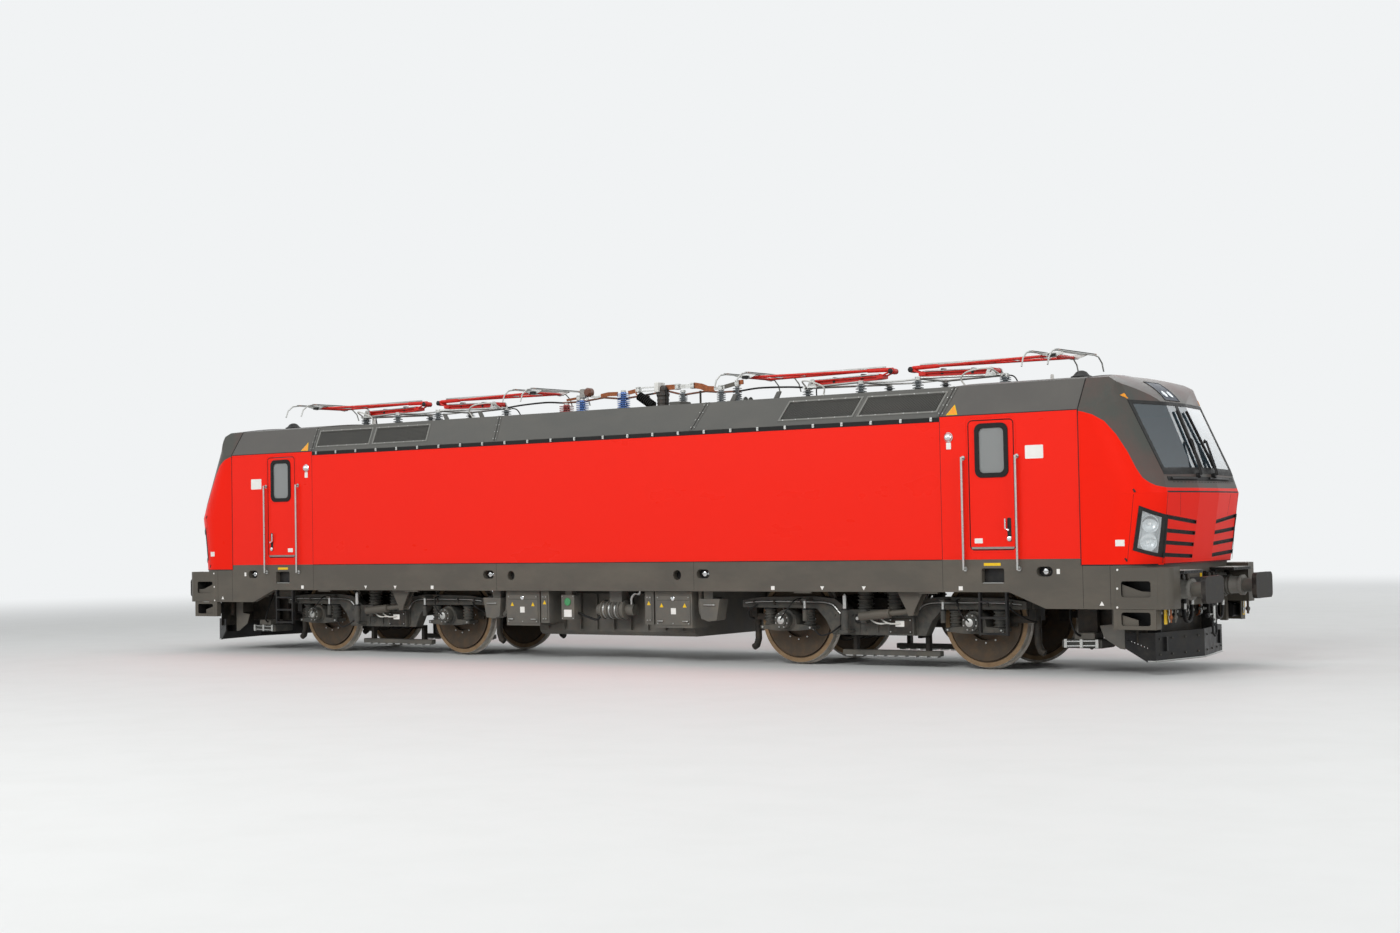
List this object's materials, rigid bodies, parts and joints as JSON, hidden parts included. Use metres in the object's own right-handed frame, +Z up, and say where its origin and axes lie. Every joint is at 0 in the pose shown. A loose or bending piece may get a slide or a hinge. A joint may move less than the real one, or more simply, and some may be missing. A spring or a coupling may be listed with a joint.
{
  "type": "electric locomotive",
  "caption": "Four-axle electric locomotive with two cabs, two turning bogies, inward-opening cab doors and folding roof pantographs.",
  "frame": {"origin": "under the middle of the body, on the plane that the wheel flanges touch", "axes": "+X along the body towards cab 2, +Y across it, +Z up; rail level is at z = 0.028"},
  "size_m": [18.98, 3.16, 4.2758],
  "materials": {
    "red_paint": "gloss sprayed body paint",
    "grey_paint": "satin sprayed frame paint",
    "roof_paint": "satin roof paint",
    "running_gear_paint": "matt dusty bogie paint",
    "wheel_steel": "rolled steel, bright on the tread",
    "dark_steel": "black painted steel",
    "clear_glass": "tinted safety glass",
    "lamp_lens": "clear moulded lens",
    "cab_trim": "moulded cab lining",
    "steel_rail": "bare steel tube",
    "insulator_ceramic": "glazed sheds",
    "busbar_copper": "aged copper bar",
    "pantograph_red": "red painted tube",
    "collector_metal": "light alloy with carbon strips",
    "equipment_paint": "grey case paint"
  },
  "bodies": {
    "body": {"buffers": "dark_steel", "cab_interiors": "cab_trim", "cab_ladders": "dark_steel", "cab_roofs": "grey_paint", "cab_shells": "grey_paint", "cab_sides": "red_paint", "converter_block": "equipment_paint", "draw_gear": "dark_steel", "grab_rails": "steel_rail", "hall_walls": "red_paint", "headlamps": "lamp_lens", "pantograph_frames": "dark_steel", "roof_busbars": "busbar_copper", "roof_hoods": "roof_paint", "roof_insulators": "insulator_ceramic", "snow_ploughs": "dark_steel", "transformer": "equipment_paint", "underfloor_cabinets": "running_gear_paint", "underframe": "grey_paint", "windscreens": "clear_glass"},
    "bogie_1": {"bogie_drive_1": "dark_steel", "bogie_frame_1": "running_gear_paint", "suspension_1": "running_gear_paint"},
    "bogie_2": {"bogie_drive_2": "dark_steel", "bogie_frame_2": "running_gear_paint", "suspension_2": "running_gear_paint"},
    "cab_door_1": {"cab_door_1": "red_paint", "door_pane_1": "clear_glass"},
    "cab_door_2": {"cab_door_2": "red_paint", "door_pane_2": "clear_glass"},
    "cab_door_3": {"cab_door_3": "red_paint", "door_pane_3": "clear_glass"},
    "cab_door_4": {"cab_door_4": "red_paint", "door_pane_4": "clear_glass"},
    "collector_head_1": {"collector_head_1": "collector_metal"},
    "collector_head_2": {"collector_head_2": "collector_metal"},
    "collector_head_3": {"collector_head_3": "collector_metal"},
    "collector_head_4": {"collector_head_4": "collector_metal"},
    "lower_arm_1": {"lower_arm_1": "pantograph_red"},
    "lower_arm_2": {"lower_arm_2": "pantograph_red"},
    "lower_arm_3": {"lower_arm_3": "pantograph_red"},
    "lower_arm_4": {"lower_arm_4": "pantograph_red"},
    "upper_arm_1": {"upper_arm_1": "pantograph_red"},
    "upper_arm_2": {"upper_arm_2": "pantograph_red"},
    "upper_arm_3": {"upper_arm_3": "pantograph_red"},
    "upper_arm_4": {"upper_arm_4": "pantograph_red"},
    "wheelset_1": {"wheelset_1": "wheel_steel"},
    "wheelset_2": {"wheelset_2": "wheel_steel"},
    "wheelset_3": {"wheelset_3": "wheel_steel"},
    "wheelset_4": {"wheelset_4": "wheel_steel"}
  },
  "joints": [
    {"name": "bogie_1_turn", "type": "hinge", "parent": "body", "child": "bogie_1", "pos_m": [-4.75, 0, 0.698], "axis": [0, 0, 1], "range_deg": [-3, 3]},
    {"name": "bogie_2_turn", "type": "hinge", "parent": "body", "child": "bogie_2", "pos_m": [4.75, 0, 0.698], "axis": [0, 0, 1], "range_deg": [-3, 3]},
    {"name": "wheelset_1_spin", "type": "hinge", "parent": "bogie_1", "child": "wheelset_1", "pos_m": [-6.25, 0, 0.653], "axis": [0, 1, 0], "continuous": true},
    {"name": "wheelset_2_spin", "type": "hinge", "parent": "bogie_1", "child": "wheelset_2", "pos_m": [-3.25, 0, 0.653], "axis": [0, 1, 0], "continuous": true},
    {"name": "wheelset_3_spin", "type": "hinge", "parent": "bogie_2", "child": "wheelset_3", "pos_m": [3.25, 0, 0.653], "axis": [0, 1, 0], "continuous": true},
    {"name": "wheelset_4_spin", "type": "hinge", "parent": "bogie_2", "child": "wheelset_4", "pos_m": [6.25, 0, 0.653], "axis": [0, 1, 0], "continuous": true},
    {"name": "cab_door_1_swing", "type": "hinge", "parent": "body", "child": "cab_door_1", "pos_m": [-6.418, -1.43, 2.428], "axis": [0, 0, -1], "range_deg": [0, 90]},
    {"name": "cab_door_2_swing", "type": "hinge", "parent": "body", "child": "cab_door_2", "pos_m": [-6.418, 1.43, 2.428], "axis": [0, 0, 1], "range_deg": [0, 90]},
    {"name": "cab_door_3_swing", "type": "hinge", "parent": "body", "child": "cab_door_3", "pos_m": [6.418, -1.43, 2.428], "axis": [0, 0, 1], "range_deg": [0, 90]},
    {"name": "cab_door_4_swing", "type": "hinge", "parent": "body", "child": "cab_door_4", "pos_m": [6.418, 1.43, 2.428], "axis": [0, 0, -1], "range_deg": [0, 90]},
    {"name": "pantograph_1_raise", "type": "hinge", "parent": "body", "child": "lower_arm_1", "pos_m": [-6.05, 0, 4.09], "axis": [0, -1, 0], "range_deg": [0, 46]},
    {"name": "pantograph_1_knee", "type": "hinge", "parent": "lower_arm_1", "child": "upper_arm_1", "pos_m": [-4.75, 0, 4.181], "axis": [0, -1, 0], "range_deg": [-82, 0]},
    {"name": "pantograph_1_head", "type": "hinge", "parent": "upper_arm_1", "child": "collector_head_1", "pos_m": [-7.09, 0, 4.218], "axis": [0, -1, 0], "range_deg": [0, 36]},
    {"name": "pantograph_2_raise", "type": "hinge", "parent": "body", "child": "lower_arm_2", "pos_m": [-3.12, 0, 4.09], "axis": [0, 1, 0], "range_deg": [0, 46]},
    {"name": "pantograph_2_knee", "type": "hinge", "parent": "lower_arm_2", "child": "upper_arm_2", "pos_m": [-4.42, 0, 4.181], "axis": [0, 1, 0], "range_deg": [-82, 0]},
    {"name": "pantograph_2_head", "type": "hinge", "parent": "upper_arm_2", "child": "collector_head_2", "pos_m": [-2.08, 0, 4.218], "axis": [0, 1, 0], "range_deg": [0, 36]},
    {"name": "pantograph_3_raise", "type": "hinge", "parent": "body", "child": "lower_arm_3", "pos_m": [3.12, 0, 4.09], "axis": [0, -1, 0], "range_deg": [0, 46]},
    {"name": "pantograph_3_knee", "type": "hinge", "parent": "lower_arm_3", "child": "upper_arm_3", "pos_m": [4.42, 0, 4.181], "axis": [0, -1, 0], "range_deg": [-82, 0]},
    {"name": "pantograph_3_head", "type": "hinge", "parent": "upper_arm_3", "child": "collector_head_3", "pos_m": [2.08, 0, 4.218], "axis": [0, -1, 0], "range_deg": [0, 36]},
    {"name": "pantograph_4_raise", "type": "hinge", "parent": "body", "child": "lower_arm_4", "pos_m": [6.05, 0, 4.09], "axis": [0, 1, 0], "range_deg": [0, 46]},
    {"name": "pantograph_4_knee", "type": "hinge", "parent": "lower_arm_4", "child": "upper_arm_4", "pos_m": [4.75, 0, 4.181], "axis": [0, 1, 0], "range_deg": [-82, 0]},
    {"name": "pantograph_4_head", "type": "hinge", "parent": "upper_arm_4", "child": "collector_head_4", "pos_m": [7.09, 0, 4.218], "axis": [0, 1, 0], "range_deg": [0, 36]}
  ],
  "couplings": [
    {"joint": "pantograph_1_knee", "follows": "pantograph_1_raise", "ratio": -1.776},
    {"joint": "pantograph_1_head", "follows": "pantograph_1_raise", "ratio": 0.776},
    {"joint": "pantograph_2_knee", "follows": "pantograph_2_raise", "ratio": -1.776},
    {"joint": "pantograph_2_head", "follows": "pantograph_2_raise", "ratio": 0.776},
    {"joint": "pantograph_3_knee", "follows": "pantograph_3_raise", "ratio": -1.776},
    {"joint": "pantograph_3_head", "follows": "pantograph_3_raise", "ratio": 0.776},
    {"joint": "pantograph_4_knee", "follows": "pantograph_4_raise", "ratio": -1.776},
    {"joint": "pantograph_4_head", "follows": "pantograph_4_raise", "ratio": 0.776}
  ]
}
